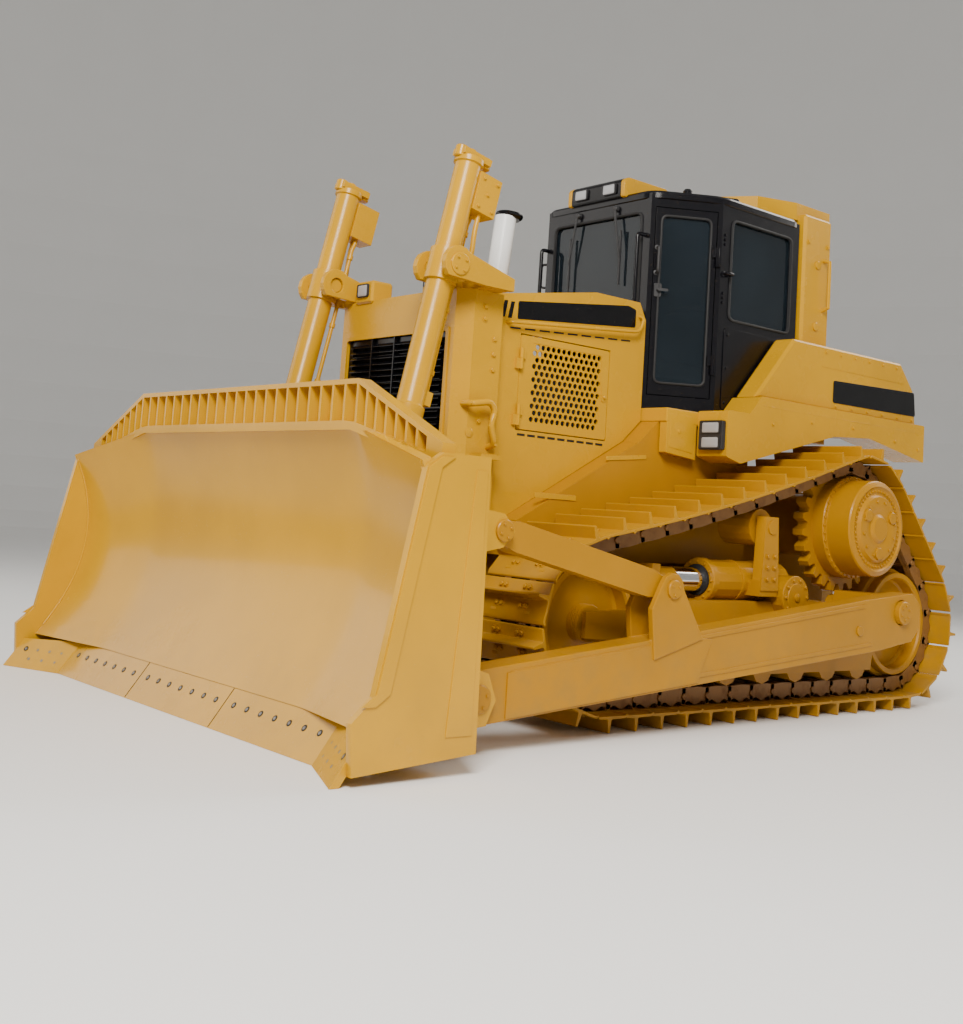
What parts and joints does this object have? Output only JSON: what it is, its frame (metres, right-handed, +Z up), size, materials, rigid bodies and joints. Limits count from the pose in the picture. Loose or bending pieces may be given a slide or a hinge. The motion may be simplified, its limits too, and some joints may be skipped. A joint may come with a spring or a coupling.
{
  "type": "crawler bulldozer",
  "caption": "Crawler bulldozer on tracks with a wide front blade on push arms, twin lift cylinders, enclosed cab with roll-over frame, hood, exhaust stack and rear tank.",
  "frame": {"origin": "middle of the footprint of the whole machine, on the ground under the grouser tips, midway between the blade's corner tips and the drawbar's rear face", "axes": "-Y forwards, towards the blade; +X to the machine's left; +Z up"},
  "size_m": [4.18, 6.618, 3.93],
  "materials": {
    "yellow_paint": "glossy warm yellow enamel",
    "track_steel": "yellow paint over forged steel, lightly worn",
    "black_paint": "satin black enamel",
    "tinted_glass": "smooth, slightly tinted",
    "chromed_rod": "polished hard chrome",
    "stack_paint": "white heat-resistant paint",
    "seat_cloth": "dark woven cloth",
    "engine_iron": "dark matt casting"
  },
  "bodies": {
    "tractor": {"cab_deck": "yellow_paint", "cab_lamp_box": "yellow_paint", "cab_shell": "black_paint", "engine_block": "engine_iron", "exhaust_stack": "stack_paint", "fender_left": "yellow_paint", "fender_right": "yellow_paint", "final_drive_left": "yellow_paint", "final_drive_right": "yellow_paint", "front_idler_left": "yellow_paint", "front_idler_right": "yellow_paint", "fuel_tank": "yellow_paint", "grille": "black_paint", "hood": "yellow_paint", "lift_bracket_left": "yellow_paint", "lift_bracket_right": "yellow_paint", "main_frame": "yellow_paint", "radiator_guard": "yellow_paint", "rear_glass": "tinted_glass", "rear_idler_left": "yellow_paint", "rear_idler_right": "yellow_paint", "rops": "yellow_paint", "seat": "seat_cloth", "side_glass_left": "tinted_glass", "side_glass_right": "tinted_glass", "track_frame_left": "yellow_paint", "track_frame_right": "yellow_paint", "track_left": "track_steel", "track_right": "track_steel", "windshield": "tinted_glass"},
    "blade_group": {"blade": "yellow_paint", "cutting_edge": "yellow_paint", "push_arm_left": "yellow_paint", "push_arm_right": "yellow_paint", "brace_left": "yellow_paint", "tilt_cylinder": "yellow_paint"},
    "lift_barrel_left": {"lift_barrel_left": "yellow_paint"},
    "lift_barrel_right": {"lift_barrel_right": "yellow_paint"},
    "lift_rod_left": {"lift_rod_left": "chromed_rod"},
    "lift_rod_right": {"lift_rod_right": "chromed_rod"},
    "cab_door_left": {"cab_door_left": "black_paint", "door_glass_left": "tinted_glass"},
    "cab_door_right": {"cab_door_right": "black_paint", "door_glass_right": "tinted_glass"},
    "engine_door_left": {"engine_door_left": "yellow_paint"},
    "engine_door_right": {"engine_door_right": "yellow_paint"}
  },
  "joints": [
    {"name": "blade_lift", "type": "hinge", "parent": "tractor", "child": "blade_group", "pos_m": [0, 1.859, 0.77], "axis": [-1, 0, 0], "range_deg": [-7, 16.5]},
    {"name": "lift_barrel_left_swing", "type": "hinge", "parent": "tractor", "child": "lift_barrel_left", "pos_m": [0.676, -1.791, 2.8], "axis": [-1, 0, 0], "range_deg": [-3.3, 7.6]},
    {"name": "lift_rod_left_slide", "type": "slide", "parent": "lift_barrel_left", "child": "lift_rod_left", "axis": [0, 0.206, 0.9785], "range_m": [-0.5, 1.17]},
    {"name": "lift_barrel_right_swing", "type": "hinge", "parent": "tractor", "child": "lift_barrel_right", "pos_m": [-0.676, -1.791, 2.8], "axis": [-1, 0, 0], "range_deg": [-3.3, 7.6]},
    {"name": "lift_rod_right_slide", "type": "slide", "parent": "lift_barrel_right", "child": "lift_rod_right", "axis": [0, 0.206, 0.9785], "range_m": [-0.5, 1.17]},
    {"name": "cab_door_left_hinge", "type": "hinge", "parent": "tractor", "child": "cab_door_left", "pos_m": [0.8493, 0.6477, 2.23], "axis": [0, 0, 1], "range_deg": [0, 100]},
    {"name": "engine_door_left_hinge", "type": "hinge", "parent": "tractor", "child": "engine_door_left", "pos_m": [0.642, -1.051, 1.845], "axis": [0, 0, -1], "range_deg": [0, 100]},
    {"name": "cab_door_right_hinge", "type": "hinge", "parent": "tractor", "child": "cab_door_right", "pos_m": [-0.8493, 0.6477, 2.23], "axis": [0, 0, -1], "range_deg": [0, 100]},
    {"name": "engine_door_right_hinge", "type": "hinge", "parent": "tractor", "child": "engine_door_right", "pos_m": [-0.642, -1.051, 1.845], "axis": [0, 0, 1], "range_deg": [0, 100]}
  ],
  "couplings": [
    {"joint": "lift_barrel_left_swing", "follows": "blade_lift", "ratio": 0.4528},
    {"joint": "lift_rod_left_slide", "follows": "blade_lift", "m_per_rad": 4.0383},
    {"joint": "lift_barrel_right_swing", "follows": "blade_lift", "ratio": 0.4528},
    {"joint": "lift_rod_right_slide", "follows": "blade_lift", "m_per_rad": 4.0383}
  ]
}
